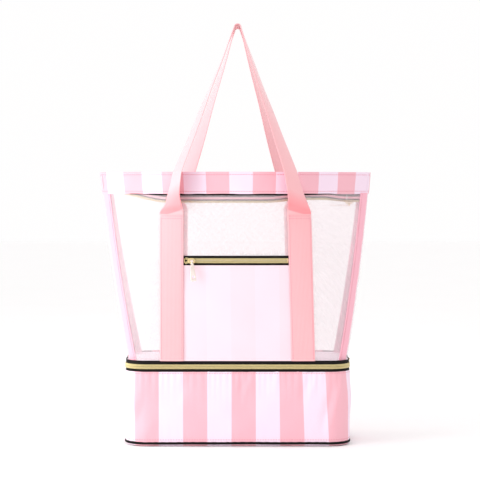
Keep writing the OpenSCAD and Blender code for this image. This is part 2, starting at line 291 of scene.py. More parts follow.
def webbing(name, colour, relief=0.22 * MM, fold_shade=None):
    """Ribbed webbing: cords run along V, with a fine cross weave over them. The fold range, the last
    argument, gives the V range above the leg's stitches where the strap bends away; there it gets painted
    shade, a deeper pink."""
    n = Nodes(name)
    u, v, _ = n.parts(n.uv)
    cords = n.ribs(u, 2.1 * MM)
    cross = n.ribs(n.math("MULTIPLY_ADD", cords, 0.25 * MM, v), 0.8 * MM)
    height = n.math("MULTIPLY_ADD", cross, 0.35, cords)
    tone = n.noise(22, 3)
    groove = n.mix(n.spread(cords, 0.12, 0.0), colour, shade(colour, 0.75))
    colour_out = n.mix(n.spread(tone, 0.0, 0.12), groove, shade(colour, 0.88))
    # Painted shade: over the fold range the colour turns to a deeper pink, slanted across the strap.
    if fold_shade:
        slant = n.math("MULTIPLY_ADD", u, 0.35, v)
        rise = n.math("MULTIPLY", n.math("SUBTRACT", slant, fold_shade[0]), 1 / (2 * MM), clamp=True)
        fall = n.math("MULTIPLY", n.math("SUBTRACT", fold_shade[1], slant), 1.5 / (fold_shade[1] - fold_shade[0]),
                      clamp=True)
        colour_out = n.mix(n.math("MULTIPLY", rise, fall), colour_out, FOLD_SHADE_PINK)
    n.bump(height, relief, 0.7 if fold_shade is None else 0.3)
    return n.surface(colour_out, n.spread(tone, 0.45, 0.62), Sheen_Weight=0.8,
                     Sheen_Roughness=0.35, Specular_IOR_Level=0.5)


def zip_tape_cloth(name, colour, pink_part=None):
    """Woven tape; pink_part gives the V range of a pink strip along it."""
    n = Nodes(name)
    u, v, _ = n.parts(n.uv)
    dark, light = colour, shade(colour, 1.7)
    if pink_part:
        inside = n.math("MULTIPLY", n.math("GREATER_THAN", v, pink_part[0]),
                        n.math("LESS_THAN", v, pink_part[1]))
        dark, light = n.mix(inside, dark, PINK), n.mix(inside, light, PINK)
    height = n.math("MULTIPLY_ADD", n.ribs(u, 1.0 * MM), 0.4, n.ribs(v, 1.3 * MM))
    tone = n.noise(60, 3)
    n.bump(height, 0.15 * MM, 0.7)
    return n.surface(n.mix(tone, dark, light), n.spread(tone, 0.55, 0.75),
                     Specular_IOR_Level=0.1)


def metal(name, colour, rough_low, rough_high, relief=0.02 * MM, metallic=1.0):
    n = Nodes(name)
    tone = n.noise(180, 4)
    scratch = n.noise(900, 2)
    n.bump(scratch, relief, 0.35)
    return n.surface(n.mix(tone, colour, shade(colour, 0.86)),
                     n.spread(tone, rough_low, rough_high), Metallic=metallic)


def foil_film(name):
    """Metallised film that creases into small facets."""
    n = Nodes(name)
    tone = n.noise(30, 5, 0.6)
    n.bump(n.math("ADD", n.cells(55), tone), 2.2 * MM, 0.6)
    return n.surface(n.mix(tone, rgb(214, 217, 222), rgb(176, 180, 186)),
                     n.spread(tone, 0.2, 0.42), Metallic=0.95)


def foam_block(name, colour):
    n = Nodes(name)
    tone = n.noise(25, 3)
    n.bump(n.cells(700), 0.5 * MM, 0.7)
    return n.surface(n.mix(tone, colour, shade(colour, 0.9)), n.spread(tone, 0.75, 0.92),
                     Specular_IOR_Level=0.2)


def thread_stuff(name, colour):
    n = Nodes(name)
    tone = n.noise(400, 2)
    n.bump(tone, 0.08 * MM, 0.6)
    return n.surface(n.mix(tone, colour, shade(colour, 0.8)), n.spread(tone, 0.45, 0.65),
                     Sheen_Weight=0.3)


COOLER_CLOTH = striped("cooler stripes", COOLER_STRIPE_AT, PINK, WHITE)
BAND_CLOTH = striped("band stripes", BAND_STRIPE_AT, PINK, WHITE, BAND_STRIPE)
POCKET_CLOTH = striped("pocket stripes", COOLER_STRIPE_AT, rgb(250, 221, 231), rgb(251, 224, 235))
# The base's stripes are much darker than the wall's: painted shade for the strip under the piping, where
# little light falls.
BASE_SHADED_CLOTH = striped("base stripes with painted shade", COOLER_STRIPE_AT, rgb(146, 50, 74), rgb(182, 126, 144))
LINING_CLOTH = cloth("lining", rgb(250, 236, 246))
HINGE_CLOTH = cloth("hinge fabric", rgb(246, 176, 190))
BINDING_CLOTH = cloth("binding", rgb(249, 184, 200), 0.7 * MM)
NET = net("net", rgb(255, 244, 248))
# Deeper pink that paints the shade where the handles bend away above the legs' stitches.
FOLD_SHADE_PINK = rgb(250, 150, 156)
WEBBING = webbing("webbing", rgb(250, 183, 188))
# The handles' webbing, with painted shade over the bend above the legs' stitches.
HANDLE_WEBBING_SHADED = webbing("handle webbing, painted fold shade", rgb(250, 186, 191), 0.08 * MM,
                         (LEG_TOP + 1 * MM, LEG_TOP + 36 * MM))
TAPE = zip_tape_cloth("zip tape", rgb(20, 18, 17))
MOUTH_TAPE = zip_tape_cloth("mouth zip tape", rgb(20, 18, 17), (403 * MM, 406.4 * MM))
PIPING = zip_tape_cloth("piping", rgb(16, 14, 14))
COIL = metal("gold coil", rgb(220, 204, 149), 0.25, 0.4, metallic=0.4)
GOLD = metal("gold metal", rgb(238, 216, 160), 0.12, 0.24)
ROSE = metal("rose gold metal", rgb(252, 238, 230), 0.08, 0.16)
FOIL = foil_film("foil")
FOAM = foam_block("foam", rgb(242, 242, 238))
BOARD = foam_block("board", rgb(228, 228, 224))
PINK_THREAD = thread_stuff("pink thread", rgb(240, 148, 168))
PALE_THREAD = thread_stuff("pale thread", rgb(255, 232, 240))

# ---- Mesh helpers ----


def mesh_object(name, points, faces, uvs, sharp=40):
    """Object from points, faces and one UV pair for each point."""
    mesh = bpy.data.meshes.new(name)
    mesh.from_pydata([tuple(p) for p in points], [], [tuple(f) for f in faces])
    index = np.zeros(len(mesh.loops), int)
    mesh.loops.foreach_get("vertex_index", index)
    uv_map = mesh.uv_layers.new(name="UVMap")
    uv_map.data.foreach_set("uv", np.asarray(uvs, float)[index].ravel())
    mesh.polygons.foreach_set("use_smooth", np.ones(len(mesh.polygons), bool))
    mesh.update()
    mesh.set_sharp_from_angle(angle=math.radians(sharp))
    return link(bpy.data.objects.new(name, mesh))


def piece(obj, body, slot, material, *nodes):
    """Gives a piece its material, sets it on its body and lets it stand for nodes. slot is not used."""
    obj.data.materials.append(material)
    if body is not None:
        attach(obj, body)
    if nodes:
        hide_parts(*nodes)
    return obj


def shell(name, outer, inner, uv, flip=(1, 1), sharp=40):
    """Closed sheet between two grids of points. Rows go round, anticlockwise from above,
    and columns go up. flip mirrors it in X or Y."""
    rows, cols = outer.shape[:2]
    count = rows * cols
    points = leaning(np.concatenate([outer.reshape(-1, 3), inner.reshape(-1, 3)]) * [*flip, 1])
    uvs = np.concatenate([uv.reshape(-1, 2)] * 2)
    faces = []
    top = cols - 1
    for low in range(0, count - cols, cols):
        high = low + cols
        for j in range(top):
            faces.append((low + j, high + j, high + j + 1, low + j + 1))
            faces.append(tuple(count + k for k in faces[-1][::-1]))
        faces.append((count + low, count + high, high, low))
        faces.append((low + top, high + top, count + high + top, count + low + top))
    last = count - cols
    for j in range(top):
        faces.append((j, j + 1, count + j + 1, count + j))
        faces.append((last + j + 1, last + j, count + last + j, count + last + j + 1))
    if flip[0] * flip[1] < 0:
        faces = [f[::-1] for f in faces]
    return mesh_object(name, points, faces, uvs, sharp)


def arc_u(points):
    """Distance along each row of a grid, from the row's middle."""
    steps = np.linalg.norm(np.diff(points, axis=0), axis=-1)
    gone = np.concatenate([np.zeros((1, points.shape[1])), np.cumsum(steps, 0)])
    return gone - gone[-1:] / 2


def layer(name, surface, a, z, high, low, u=None, **more):
    """Closed sheet over one of the bag's surfaces, from low to high above it. Its U is the
    distance gone along each row, unless u is given."""
    outer = surface(a, z, high)
    u = arc_u(outer) if u is None else u
    return shell(name, outer, surface(a, z, low), np.stack([u, z], -1), **more)


def leaning(points):
    """Moves points above the cooler a little to the left, the way the soft tote stands:
    most at the rim, and none at the top of the handles."""
    z = points[:, 2]
    up = np.clip((z - TOTE_FOOT) / (RIM_Z - TOTE_FOOT), 0, 1)
    fade = np.clip((HANDLE_TOP - z) / (HANDLE_TOP - RIM_Z), 0, 1)
    moved = np.array(points, float)
    moved[:, 0] -= LEAN * up * fade
    return moved


def mesh_grid(u, v):
    """Two grids of places: the first goes down the rows, the second along the columns."""
    return np.meshgrid(np.asarray(u, float), np.asarray(v, float), indexing="ij")


def unit(vectors):
    """Vectors of length one."""
    return vectors / np.linalg.norm(vectors, axis=-1, keepdims=True)


def smooth(value):
    """Soft step from 0 to 1."""
    value = np.clip(value, 0, 1)
    return value * value * (3 - 2 * value)


def ripple(u, v, sizes, seed):
    """Gentle uneven waves, about -1 to 1, from a few sines with set phases."""
    draw = np.random.default_rng(seed)
    total = 0.0
    for size in sizes:
        for _ in range(3):
            angle, phase = draw.uniform(0, math.pi), draw.uniform(0, 2 * math.pi)
            place = u * math.cos(angle) + v * math.sin(angle)
            total = total + np.sin(2 * math.pi * place / size + phase)
    return total / (3 * len(sizes)) * 1.6


# ---- The bag's surfaces, as the CAD model has them ----


def plan(z):
    """Seam's X and Y, bow of the front, squareness and gusset bulge at height z."""
    t = np.clip((z - TOTE_FOOT) / (RIM_Z - TOTE_FOOT), 0, 1.02)
    half = COOLER_W + (RIM_W - COOLER_W) * (1.32 * t - 0.32 * t * t)
    bulge = (9 - 4 * t) * MM
    gusset = GUSSET_FOOT + (GUSSET_RIM - GUSSET_FOOT) * t
    bow = FOOT_BOW + (RIM_BOW - FOOT_BOW) * t
    power = 2 + 6 * np.clip(1 - t, 0, 1) ** 1.5
    return half - bulge, gusset, bow, power, bulge


def front(x, z, off):
    """Point on the front wall, pushed out by off."""
    seam, gusset, bow, power, _ = plan(z)
    share = np.abs(x) / seam
    y = -(gusset + bow * (1 - share ** power))
    slope = np.sign(x) * bow * power / seam * share ** (power - 1)
    out = unit(np.stack([slope, -np.ones_like(slope), np.zeros_like(slope)], -1))
    return np.stack([x + 0 * z, y, z + 0 * x], -1) + out * np.asarray(off)[..., None]


def side(s, z, off):
    """Point on the right gusset; s runs from -1 at the front seam to 1."""
    seam, gusset, _, _, bulge = plan(z)
    out = unit(np.stack([gusset + 0 * s, 2 * bulge * s, 0 * s * z], -1))
    place = np.stack([seam + bulge * (1 - s * s), s * gusset, z + 0 * s], -1)
    return place + out * np.asarray(off)[..., None]


def corner(z, off):
    """Point on the front right seam, pushed out from both faces by off."""
    seam, gusset, bow, power, bulge = plan(z)
    n1 = unit(np.stack([bow * power / seam, -np.ones_like(z), 0 * z], -1))
    n2 = unit(np.stack([gusset, -2 * bulge, 0 * z], -1))
    n = n1 + n2
    scale = 2 / (n * n).sum(-1, keepdims=True)
    return np.stack([seam, -gusset, z], -1) + n * scale * np.asarray(off)[..., None]


def along(points):
    """Distance gone along a line of points."""
    steps = np.linalg.norm(np.diff(points, axis=0), axis=1)
    return np.concatenate([[0], np.cumsum(steps)])


STRAIGHT_X, STRAIGHT_Y = COOLER_W - CORNER, COOLER_D - CORNER
ARC = CORNER * math.pi / 2
ROUND_COOLER = 4 * (STRAIGHT_X + STRAIGHT_Y + ARC)


def cooler_line(u):
    """Point and outward normal on the cooler's outline, u metres from the middle of the
    front, going towards +X."""
    u = np.mod(np.asarray(u, float), ROUND_COOLER)
    x, y = np.zeros_like(u), np.zeros_like(u)
    nx, ny = np.zeros_like(u), np.zeros_like(u)
    start = -STRAIGHT_X
    spans = [
        ((-STRAIGHT_X, -COOLER_D), (1, 0), 2 * STRAIGHT_X, (STRAIGHT_X, -STRAIGHT_Y)),
        ((COOLER_W, -STRAIGHT_Y), (0, 1), 2 * STRAIGHT_Y, (STRAIGHT_X, STRAIGHT_Y)),
        ((STRAIGHT_X, COOLER_D), (-1, 0), 2 * STRAIGHT_X, (-STRAIGHT_X, STRAIGHT_Y)),
        ((-COOLER_W, STRAIGHT_Y), (0, -1), 2 * STRAIGHT_Y, (-STRAIGHT_X, -STRAIGHT_Y)),
    ]
    for (px, py), (dx, dy), length, (cx, cy) in spans:
        for lap in (0, ROUND_COOLER):
            d = u - start - lap
            on = (d >= 0) & (d < length)
            x[on], y[on] = px + dx * d[on], py + dy * d[on]
            nx[on], ny[on] = dy, -dx
            d = d - length
            on = (d >= 0) & (d < ARC)
            turn = d[on] / CORNER + math.atan2(-dx, dy)
            nx[on], ny[on] = np.cos(turn), np.sin(turn)
            x[on], y[on] = cx + CORNER * nx[on], cy + CORNER * ny[on]
        start += length + ARC
    return np.stack([x, y], -1), np.stack([nx, ny], -1)


def cooler_pt(u, z, off):
    """Point on the cooler's wall, pushed out by off."""
    place, out = cooler_line(u)
    flat = place + out * np.asarray(off)[..., None]
    return np.concatenate([flat, (z + 0 * u)[..., None]], -1)


def round_steps(step):
    """Even places round the cooler, without the last, which is the first again."""
    count = int(round(ROUND_COOLER / step))
    return np.arange(count) * ROUND_COOLER / count - ROUND_COOLER / 2


def front_steps(step):
    """Even places along the stretch that the zip takes: all but the rear."""
    half = ROUND_COOLER / 2 - HINGE_HALF
    return np.linspace(-half, half, int(round(2 * half / step)) + 1)


# ---- Stitches and coils: many small copies along a line, as one piece ----
BEAD_ENDS = ((-0.5, 0.35), (-0.3, 1), (0.3, 1), (0.5, 0.35))
COIL_BENDS = ((-0.5, 0.45), (-0.46, 0.85), (-0.38, 1), (0.38, 1), (0.46, 0.85), (0.5, 0.45))
POCKET_BENDS = ((-0.5, 0.2), (-0.44, 0.75), (-0.3, 1), (0.3, 1), (0.44, 0.75), (0.5, 0.2))
STOP_ENDS = ((-0.5, 0.6), (-0.42, 1), (0.42, 1), (0.5, 0.6))
COIL_PITCH, COIL_WIRE, COIL_LEAN = 1.5 * MM, 1.5 * MM, 0.16
STITCH, STITCH_GAP = 3.0 * MM, 1.3 * MM


def turned(count):
    """Even angles round a circle."""
    return np.arange(count) / count * 2 * math.pi


def repeat(name, local, faces, places, across, ups, outs):
    """One object from copies of a small shape. local holds (along, up, out) points."""
    copies = (places[:, None] + across[:, None] * local[None, :, :1]
              + ups[:, None] * local[None, :, 1:2] + outs[:, None] * local[None, :, 2:])
    count = len(local)
    all_faces = [tuple(k * count + i for i in f) for k in range(len(places)) for f in faces]
    uvs = np.tile(local[:, :2], (len(places), 1))
    return mesh_object(name, leaning(copies.reshape(-1, 3)), all_faces, uvs, 60)


def ring_faces(rings, sides, closed=False):
    """Faces through rings of points. Both ends are capped, or closed joins the last ring to
    the first."""
    faces = []
    for r in range(rings if closed else rings - 1):
        low, high = r * sides, (r + 1) % rings * sides
        for a in range(sides):
            b = (a + 1) % sides
            faces.append((low + a, low + b, high + b, high + a))
    if not closed:
        faces += [tuple(range(sides))[::-1], tuple(range((rings - 1) * sides, rings * sides))]
    return faces


def bead(length, width, height, rings=BEAD_ENDS, sides=6):
    """Small rounded bar along its first axis, and its faces. A ring is its place along the
    length and its share of the full width."""
    points = [[at * length, width / 2 * grow * math.cos(a), height / 2 * grow * math.sin(a)]
              for at, grow in rings for a in turned(sides)]
    return np.array(points), ring_faces(len(rings), sides)


def even(line, outs, pitch, start=0.0):
    """Points, directions and outward vectors at even steps along a line."""
    gone = along(line)
    at = np.arange(start + pitch / 2, gone[-1], pitch)
    pick = lambda values: np.stack([np.interp(at, gone, values[:, k]) for k in range(3)], -1)
    heading = unit(np.gradient(line, gone, axis=0))
    return pick(line), unit(pick(heading)), unit(pick(outs))


def outs_of(surface, a, z):
    """Outward unit vectors of a surface at those places."""
    return unit(surface(a, z, 1 * MM) - surface(a, z, 0.0))


def seam_line(surface, a, z, off):
    """Points on a surface and their outward vectors: what stitches and coils follow."""
    return surface(a, z, off), outs_of(surface, a, z)


def mirrored(lines, flip):
    """Lines and their outward vectors, mirrored in X or Y."""
    return [(points * [*flip, 1], outs * [*flip, 1]) for points, outs in lines]


def stitch_line(name, lines, body, slot, material=PINK_THREAD):
    """A row of stitches along each line; a line is its points and their outward vectors."""
    local, faces = bead(STITCH, 2 * THREAD_R, 1.5 * THREAD_R)
    made = [even(points, outs, STITCH + STITCH_GAP) for points, outs in lines]
    places, forward, out = (np.concatenate(part) for part in zip(*made))
    obj = repeat(name, local, faces, places, forward, np.cross(out, forward), out)
    return piece(obj, body, slot, material)


def zip_coil(name, rows, tall, body, nodes, wire=COIL_WIRE, bends=COIL_BENDS):
    """Rows of coil loops: small bars across the row, bent over at both ends. A row is its
    points, their outward vectors and which way its loops lean."""
    local, faces = bead(tall, COIL_PITCH, wire, bends)
    made = []
    for k, (line, outs, way) in enumerate(rows):
        places, forward, out = even(line, outs, COIL_PITCH, k * COIL_PITCH / 2)
        across = np.cross(out, forward)
        made.append((places, unit(forward + COIL_LEAN * across * way), across, out))
    obj = repeat(name, local[:, [1, 0, 2]], [f[::-1] for f in faces],
                 *(np.concatenate(part) for part in zip(*made)))
    return piece(obj, body, "zip_teeth", COIL, *nodes)


def end_stops(name, surface, ends, z, off, size, body, node):
    """Metal bars that close both ends of a zip's coils."""
    local, faces = bead(*size, STOP_ENDS, 8)
    places, outs = seam_line(surface, ends, z, off)
    up = np.tile([0, 0, 1.0], (2, 1))
    obj = repeat(name, local, faces, places, up, np.cross(up, outs), outs)
    piece(obj, body, "gold_metal", GOLD, node)


def tube(name, line, outs, half_out, half_up, sides):
    """Round bar along a closed line of points; outs say which way its first half width points."""
    heading = unit(np.roll(line, -1, 0) - np.roll(line, 1, 0))
    up = unit(np.cross(heading, outs))
    out = np.cross(up, heading)
    turns = turned(sides)
    ring = (line[:, None] + out[:, None] * half_out * np.cos(turns)[None, :, None]
            + up[:, None] * half_up * np.sin(turns)[None, :, None])
    uv = np.stack(mesh_grid(along(line), turns * half_up), -1).reshape(-1, 2)
    return mesh_object(name, ring.reshape(-1, 3), ring_faces(len(line), sides, closed=True), uv, 60)


# ---- Cooler ----
CLOTH_T = 0.9 * MM
FOAM_INSET, WALL_FOAM_T = 1.2 * MM, 4.6 * MM
FOIL_IN = -6.4 * MM

# Dents and soft ridges in the cooler's front: place along U, height, width, length, depth.
DENTS = [[k * MM for k in row] for row in (
    (148, 66, 8, 34, -3.2), (160, 72, 7, 32, 2.4), (112, 96, 8, 20, -2.0), (121, 94, 6, 18, 1.4),
    (60, 100, 8, 16, 1.4), (-158, 58, 9, 30, -2.6), (-144, 30, 9, 18, 1.8), (-88, 96, 8, 18, -1.6),
    (8, 98, 7, 18, -1.6), (17, 100, 5, 15, 1.2))]


def wall_share(z):
    """Height on the cooler's wall, from 0 at its foot to 1 at its top."""
    return (z - WALL_FOOT) / (WALL_TOP - WALL_FOOT)


def pucker_wave(u, pitch, sizes, seed):
    """Uneven small gathers along a seam."""
    return np.sin(2 * math.pi * u / pitch + 2.5 * ripple(u, 0 * u, sizes, seed))


def cooler_wave(u, z):
    """How far the cooler's cloth stands off its foam: it swells between the seams and
    gathers into small puckers next to them."""
    h = np.clip(wall_share(z), 0, 1)
    off = 3.2 * MM * np.sin(math.pi * h) ** 0.6
    off = off + 1.9 * MM * ripple(u, z, (0.14, 0.08, 0.05), 3) * np.sin(math.pi * h)
    for place, height, size, tall, depth in DENTS:
        off = off + depth * np.exp(-((u - place - 0.25 * (z - height)) / size) ** 2
                                   - ((z - height) / tall) ** 2)
    near_top = np.exp(-(WALL_TOP - z) / (17 * MM))
    near_foot = np.exp(-(z - WALL_FOOT) / (11 * MM))
    off = off + 1.15 * MM * pucker_wave(u, 10.5 * MM, (0.07, 0.04), 5) * near_top * (1 - near_top ** 2)
    off = off + 0.5 * MM * pucker_wave(u, 13 * MM, (0.09, 0.05), 8) * near_foot * (1 - near_foot ** 4)
    return np.maximum(off, -0.15 * MM)


def stripe_slant(u, z):
    """How far the stripes lean at the right end, where the cloth narrows towards the zip."""
    lean = (10 * wall_share(z) - 2) * MM
    return lean * smooth((u - 20 * MM) / (200 * MM)) * (1 - smooth((u - 240 * MM) / (120 * MM)))


def full_turn(step):
    """Places from the rear seam all the way round to it again."""
    return np.linspace(-ROUND_COOLER / 2, ROUND_COOLER / 2, int(round(ROUND_COOLER / step)) + 1)


def make_cooler_wall():
    u, z = mesh_grid(full_turn(2.2 * MM), np.linspace(WALL_FOOT, WALL_TOP - 1.1 * MM, 52))
    off = cooler_wave(u, z)
    obj = layer("cooler_wall_cloth", cooler_pt, u, z, off, off - CLOTH_T, u + stripe_slant(u, z))
    piece(obj, "cooler", "stripe_fabric", COOLER_CLOTH, "cooler_wall")
    u = full_turn(2 * MM)
    for name, z in (("cooler_top_stitches", WALL_TOP - 4.2 * MM),
                    ("cooler_foot_stitches", WALL_FOOT + 9.5 * MM)):
        line = seam_line(cooler_pt, u, z, cooler_wave(u, z) + 0.1 * MM)
        stitch_line(name, [line], "cooler", "stripe_fabric")


def clean(obj, merge=False, slivers=False, outward=False):
    """Joins doubled points, drops slivers and turns the faces outwards, as asked."""
    bm = bmesh.new()
    bm.from_mesh(obj.data)
    if merge:
        bmesh.ops.remove_doubles(bm, verts=bm.verts, dist=0.02 * MM)
    if slivers:
        bmesh.ops.dissolve_degenerate(bm, edges=bm.edges, dist=0.01 * MM)
    if outward:
        bmesh.ops.recalc_face_normals(bm, faces=bm.faces)
    bm.to_mesh(obj.data)
    bm.free()
    return obj


def outline_grid(line, out, profile):
    """Grid of points over the cooler's outline. profile runs along each column; an entry is
    (share of the outline, outward offset, height)."""
    columns = [np.concatenate([line * share + out * off, np.full((len(line), 1), z)], -1)
               for share, off, z in profile]
    return np.stack(columns, 1)


def pan(name, profile, u, thick, crinkle=None):
    """Dish over the cooler's outline, with its profile from the middle to the rim."""
    outer = outline_grid(*cooler_line(u), profile)
    if crinkle is not None:
        outer = outer + crinkle(outer)
    normal = np.cross(np.gradient(outer, axis=0), np.gradient(outer, axis=1))
    size = np.linalg.norm(normal, axis=-1, keepdims=True)
    normal = np.where(size > 1e-12, normal / np.maximum(size, 1e-12), [0, 0, -1])
    obj = shell(name, outer, outer - normal * thick, outer[..., :2], sharp=50)
    return clean(obj, merge=True, slivers=True)


def make_base():
    profile = [(k, 0.0, 0.0) for k in np.linspace(0, 0.97, 12)]
    profile += [(1, off * MM, z * MM) for off, z in
                ((-4, 0), (-2.5, 0.3), (-1.4, 1.1), (-0.8, 2.2), (-0.5, 3.6))]
    obj = pan("base_cloth", profile, full_turn(6 * MM), 0.8 * MM)
    piece(obj, "cooler", "base_fabric", BASE_SHADED_CLOTH, "base_panel")
    low, high = span_z("base_piping")
    u = round_steps(3 * MM)
    line, outs = seam_line(cooler_pt, u, (low + high) / 2, 0.9 * MM)
    line[:, 2] += 0.3 * MM * ripple(u, 0 * u, (0.2, 0.09), 4)
    cord = tube("base_piping_cord", line, outs, 1.5 * MM, (high - low) / 2 + 0.4 * MM, 12)
    piece(cord, "cooler", "piping", PIPING, "base_piping")


def slab(name, node, inset, body):
    """Foam sheet with soft edges, in place of a flat plate with the cooler's outline."""
    low, high = span_z(node)
    half = (high - low) / 2
    shares = np.linspace(0, 0.96, 10)
    profile = [(k, 0.0, low) for k in shares]
    profile += [(1, -inset - half * (1 - math.sin(a)), low + half * (1 - math.cos(a)))
                for a in np.linspace(0.15, math.pi - 0.15, 7)]
    profile += [(k, 0.0, high) for k in shares[::-1]]
    grid = outline_grid(*cooler_line(full_turn(8 * MM)), profile)
    rows, cols = grid.shape[:2]
    faces = [(i * cols + j, (i + 1) * cols + j, (i + 1) * cols + j + 1, i * cols + j + 1)
             for i in range(rows - 1) for j in range(cols - 1)]
    obj = mesh_object(name, grid.reshape(-1, 3), faces, grid[..., :2].reshape(-1, 2))
    piece(clean(obj, merge=True, outward=True), body, "foam", FOAM, node)


def make_wall_foam():
    low, high = span_z("wall_foam")
    u, z = mesh_grid(full_turn(5 * MM), np.linspace(low, high - 1.2 * MM, 14))
    crown = np.minimum(1, (high - z) / (2.4 * MM)) ** 0.5
    obj = layer("wall_foam_pad", cooler_pt, u, z, -FOAM_INSET - WALL_FOAM_T / 2 * (1 - crown),
                -FOAM_INSET - WALL_FOAM_T / 2 * (1 + crown), u)
    piece(obj, "cooler", "foam", FOAM, "wall_foam")


def make_foil_liner():
    low, top = span_z("foil_liner")[0] + 0.3 * MM, SPLIT_LOW - 0.7 * MM
    profile = [(k, 0.0, low) for k in np.linspace(0, 0.9, 14)]
    profile += [(1, FOIL_IN + off * MM, low + up * MM) for off, up in ((-5, 0), (-1.5, 0.8), (0, 4))]
    profile += [(1, FOIL_IN, z) for z in np.linspace(low + 8 * MM, top - 3 * MM, 22)]
    profile += [(1, FOIL_IN + 0.6 * MM, top - 0.6 * MM), (1, FOIL_IN + 2 * MM, top), (1, -1.2 * MM, top)]

    def crinkle(points):
        x, y, z = points[..., 0], points[..., 1], points[..., 2]
        push = np.abs(0.7 * MM * ripple(x + y, z + 0.5 * x - 0.3 * y, (0.05, 0.028, 0.016), 17))
        on_floor = z < low + 3 * MM
        inward = push * smooth((top - z) / (12 * MM)) / np.maximum(np.hypot(x, y), 1e-6) * ~on_floor
        return np.stack([-inward * x, -inward * y, push * on_floor], -1)

    obj = pan("foil_lining", profile, full_turn(4 * MM), 0.3 * MM, crinkle)
    piece(obj, "cooler", "foil", FOIL, "foil_liner")


def make_cooler_zip():
    u, fine_u = front_steps(3 * MM), front_steps(2 * MM)
    halves = (("lower", "cooler", COIL_LOW, SPLIT_LOW, -1, WALL_TOP - 1.5 * MM, SPLIT_LOW - 0.5 * MM),
              ("upper", "tote", SPLIT_HIGH, COIL_HIGH, 1, SPLIT_HIGH + 0.5 * MM, TOTE_FOOT + 0.6 * MM))
    for name, body, low, high, way, tape_low, tape_high in halves:
        uu, zz = mesh_grid(u, np.linspace(tape_low, tape_high, 7))
        off = 0.15 * MM * ripple(uu, zz, (0.05, 0.03), 21)
        off = off + 0.7 * MM * smooth((WALL_TOP + 1 * MM - zz) / (2 * MM))
        tape = layer(name + "_tape", cooler_pt, uu, zz, off, off - 0.7 * MM, uu)
        piece(tape, body, "zip_tape", TAPE, name + "_zip_tape")
        row = seam_line(cooler_pt, fine_u, (low + high) / 2 - 0.35 * MM * way, 0.45 * MM)
        zip_coil(name + "_coil", [(*row, way)], high - low - 0.2 * MM, body, [name + "_zip_teeth"])
    end_stops("cooler_zip_end_stops", cooler_pt, u[[0, -1]], (COIL_LOW + SPLIT_LOW) / 2, 0.9 * MM,
              (5 * MM, 2.2 * MM, 2 * MM), "cooler", "cooler_zip_stops")


def make_hinge_strip():
    """One strip of cloth across the rear, over the place where the lid turns."""
    low, high = WALL_TOP - 1 * MM, TOTE_FOOT + 1 * MM
    x, z = mesh_grid(np.linspace(HINGE_HALF + 1 * MM, -HINGE_HALF - 1 * MM, 80),
                     np.linspace(low, high, 30))
    off = 0.35 * MM * np.sin(2 * math.pi * x / (14 * MM)) * np.sin(math.pi * (z - low) / (high - low))
    place = lambda extra: np.stack([x, COOLER_D + 0.1 * MM + off + extra, z], -1)
    obj = shell("rear_hinge_strip", place(0.35 * MM), place(-0.35 * MM), np.stack([x, z], -1))
    piece(obj, None, "base_fabric", HINGE_CLOTH, "hinge_fabric_lower", "hinge_fabric_upper")
    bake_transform(obj)


def upward(points, rise):
    """Moves that lift each point by rise."""
    return np.stack([0 * points[..., 0], 0 * points[..., 1], rise], -1)


def make_lid_foil():
    under = sum(span_z("lid_foil")) / 2
    profile = [(k, 0.0, under) for k in np.linspace(0, 0.96, 22)]
    profile += [(1, -4 * MM, under), (1, -1.6 * MM, under + 0.3 * MM)]

    def quilt(points):
        x, y = points[..., 0], points[..., 1]
        pillow = np.abs(np.sin(math.pi * (x + y) / QUILT) * np.sin(math.pi * (x - y) / QUILT))
        inside = smooth((COOLER_D - np.abs(y)) / (12 * MM)) * smooth((COOLER_W - np.abs(x)) / (12 * MM))
        return upward(points, -1.4 * MM * pillow ** 0.5 * inside)

    obj = pan("lid_foil_lining", profile, full_turn(4 * MM), 0.25 * MM, quilt)
    piece(obj, "tote", "foil", FOIL, "lid_foil")


def make_tote_floor():
    profile = [(1, off * MM, FLOOR_TOP + up * MM) for off, up in ((-1.3, 2.2), (-2, 0.9), (-4, 0.2))]
    profile += [(k, 0.0, FLOOR_TOP) for k in np.linspace(0.95, 0, 16)]

    def sag(points):
        return upward(points, 0.5 * MM * ripple(points[..., 0], points[..., 1], (0.11, 0.06), 31))

    obj = pan("tote_floor_cloth", profile, full_turn(5 * MM), 0.7 * MM, sag)
    piece(obj, "tote", "lilac_fabric", LINING_CLOTH, "tote_floor")


# ---- Tote walls ----
NET_T = 0.35 * MM
BAND_HEM = 4 * MM                # from the band's edges to its stitches
BINDING_OFF, BINDING_T = 0.6 * MM, 0.9 * MM
FLIPS = {"front_right": (1, 1), "front_left": (-1, 1), "rear_right": (1, -1), "rear_left": (-1, -1)}


def wall_wave(share, z, seed):
    """Soft waves in the net, none at its seams."""
    h = np.clip((z - TOTE_FOOT) / (BAND_Z - TOTE_FOOT), 0, 1)
    calm = np.sin(math.pi * h) ** 0.7 * (1 - share ** 6)
    return 1.7 * MM * ripple(share * 0.2, z, (0.16, 0.09), seed) * calm


def make_nets():
    heights = np.linspace(TOTE_FOOT - 0.5 * MM, BAND_Z + 1 * MM, 60)
    for name, flip, surface, steps, calm, seed in (
            ("front", (1, 1), front, 121, 1, 41), ("rear", (1, -1), front, 121, 1, 43),
            ("right", (1, 1), side, 31, 0.6, 45), ("left", (-1, 1), side, 31, 0.6, 47)):
        share, z = mesh_grid(np.linspace(-1, 1, steps), heights)
        off = calm * wall_wave(share, z, seed)
        if surface is front:
            a = share * plan(z)[0]
        else:
            a, off = share, np.abs(off)
        u = arc_u(surface(a, z, off + NET_T))
        obj = layer(name + "_net", surface, a, z, off + NET_T, off, u, flip=flip)
        piece(obj, "tote", "mesh", NET, name + "_mesh")


def band_edge(z):
    """Distance to the nearer edge of the band."""
    return np.minimum(z - BAND_Z, RIM_Z - z)


